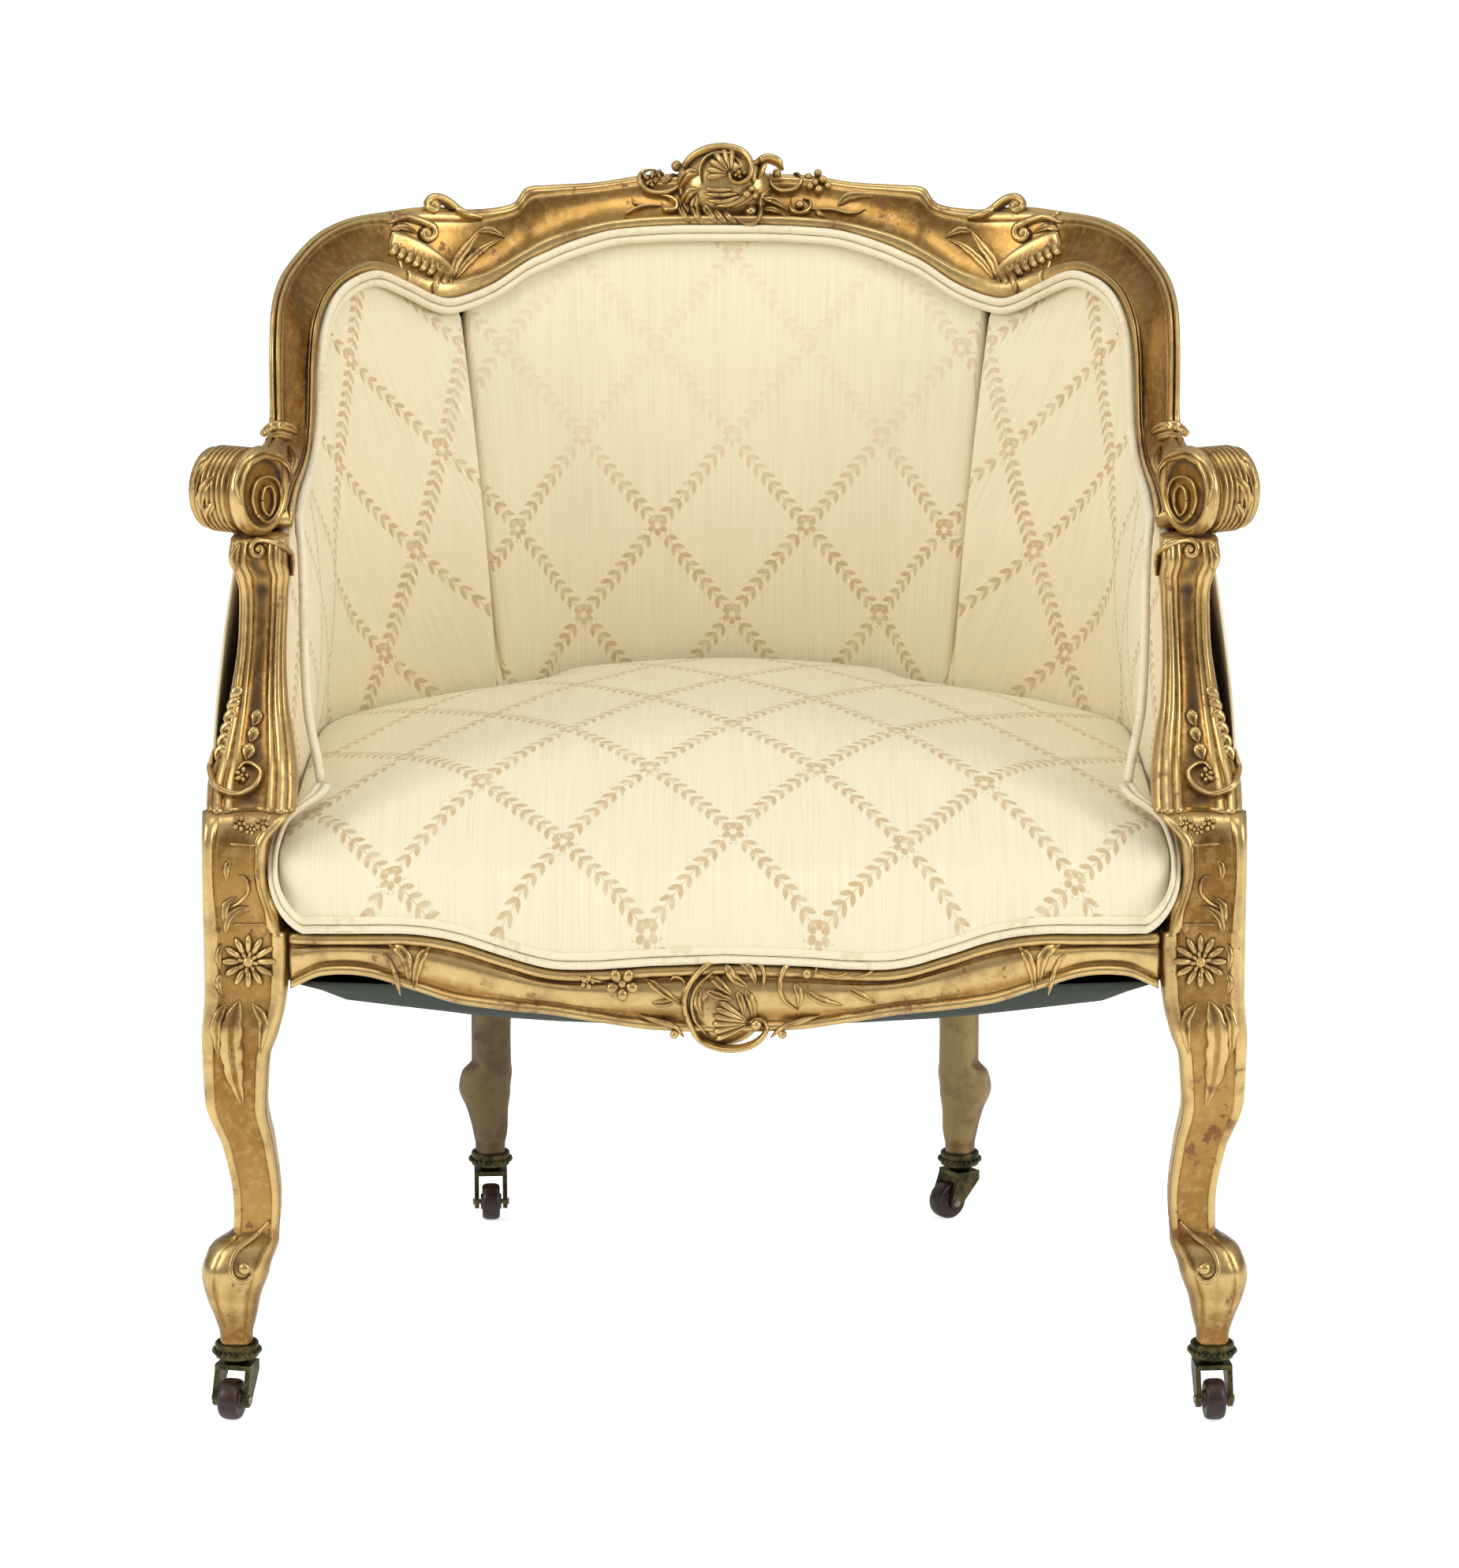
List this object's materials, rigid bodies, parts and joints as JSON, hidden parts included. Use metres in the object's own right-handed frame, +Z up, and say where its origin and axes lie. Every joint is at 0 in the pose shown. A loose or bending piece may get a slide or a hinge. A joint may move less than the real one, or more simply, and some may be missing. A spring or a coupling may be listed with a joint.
{
  "type": "bergere armchair",
  "caption": "Tub-shaped upholstered armchair with a carved gilt frame, scrolled arms, cabriole legs, a sprung seat and swivelling casters.",
  "frame": {"origin": "on the floor under the middle of the chair, at the centre of its footprint", "axes": "+Z up, +X to the right as seen in the picture, -Y towards the front of the seat"},
  "size_m": [0.7488, 0.6242, 0.844],
  "materials": {
    "gilt": "worn water gilding over red bole, brown in the hollows",
    "beech": "plain sawn wood",
    "silk": "cream silk with a leaf trellis",
    "welt_silk": "plain cream silk over cord",
    "hessian": "coarse jute",
    "dust_cloth": "thin black-green cloth",
    "spring_steel": "dull",
    "bronze": "dark green-brown patina",
    "dark_wheel": "dark, worn smooth"
  },
  "bodies": {
    "chair": {"crest_rail": "gilt", "arm_rail_left": "gilt", "arm_rail_right": "gilt", "arm_stump_left": "gilt", "arm_stump_right": "gilt", "front_leg_left": "gilt", "front_leg_right": "gilt", "rear_leg_left": "gilt", "rear_leg_right": "gilt", "front_seat_rail": "gilt", "side_seat_rail_left": "beech", "side_seat_rail_right": "beech", "rear_seat_rail": "beech", "back_stile_left": "beech", "back_stile_right": "beech", "corner_block_front_left": "beech", "corner_block_front_right": "beech", "corner_block_rear_left": "beech", "corner_block_rear_right": "beech", "inside_back_pad": "silk", "inside_arm_pad_left": "silk", "inside_arm_pad_right": "silk", "outside_back_cover": "silk", "outside_arm_cover_left": "silk", "outside_arm_cover_right": "silk", "seat_cushion": "silk", "back_welt": "welt_silk", "seat_welt": "welt_silk", "spring_deck": "hessian", "seat_webbing": "hessian", "seat_spring_1": "spring_steel", "seat_spring_2": "spring_steel", "seat_spring_3": "spring_steel", "seat_spring_4": "spring_steel", "seat_spring_5": "spring_steel", "dust_cover": "dust_cloth", "caster_collar_front_left": "bronze", "caster_collar_front_right": "bronze", "caster_collar_rear_left": "bronze", "caster_collar_rear_right": "bronze"},
    "fork_front_left": {"caster_fork_front_left": "bronze", "caster_axle_front_left": "spring_steel"},
    "fork_front_right": {"caster_fork_front_right": "bronze", "caster_axle_front_right": "spring_steel"},
    "fork_rear_left": {"caster_fork_rear_left": "bronze", "caster_axle_rear_left": "spring_steel"},
    "fork_rear_right": {"caster_fork_rear_right": "bronze", "caster_axle_rear_right": "spring_steel"},
    "wheel_front_left": {"caster_wheel_front_left": "dark_wheel"},
    "wheel_front_right": {"caster_wheel_front_right": "dark_wheel"},
    "wheel_rear_left": {"caster_wheel_rear_left": "dark_wheel"},
    "wheel_rear_right": {"caster_wheel_rear_right": "dark_wheel"}
  },
  "joints": [
    {"name": "swivel_front_left", "type": "hinge", "parent": "chair", "child": "fork_front_left", "pos_m": [-0.342, -0.25001, 0], "axis": [0, 0, 1], "continuous": true},
    {"name": "swivel_front_right", "type": "hinge", "parent": "chair", "child": "fork_front_right", "pos_m": [0.342, -0.25001, 0], "axis": [0, 0, 1], "continuous": true},
    {"name": "swivel_rear_left", "type": "hinge", "parent": "chair", "child": "fork_rear_left", "pos_m": [-0.18659, 0.24929, 0], "axis": [0, 0, 1], "continuous": true},
    {"name": "swivel_rear_right", "type": "hinge", "parent": "chair", "child": "fork_rear_right", "pos_m": [0.18659, 0.24929, 0], "axis": [0, 0, 1], "continuous": true},
    {"name": "roll_front_left", "type": "hinge", "parent": "fork_front_left", "child": "wheel_front_left", "pos_m": [-0.3449, -0.26165, 0.0145], "axis": [0.9703, -0.2419, 0], "continuous": true},
    {"name": "roll_front_right", "type": "hinge", "parent": "fork_front_right", "child": "wheel_front_right", "pos_m": [0.34284, -0.26198, 0.0145], "axis": [0.9976, 0.0698, 0], "continuous": true},
    {"name": "roll_rear_left", "type": "hinge", "parent": "fork_rear_left", "child": "wheel_rear_left", "pos_m": [-0.18596, 0.2373, 0.0145], "axis": [0.9986, 0.0523, 0], "continuous": true},
    {"name": "roll_rear_right", "type": "hinge", "parent": "fork_rear_right", "child": "wheel_rear_right", "pos_m": [0.17676, 0.24241, 0.0145], "axis": [0.5736, -0.8192, 0], "continuous": true}
  ]
}
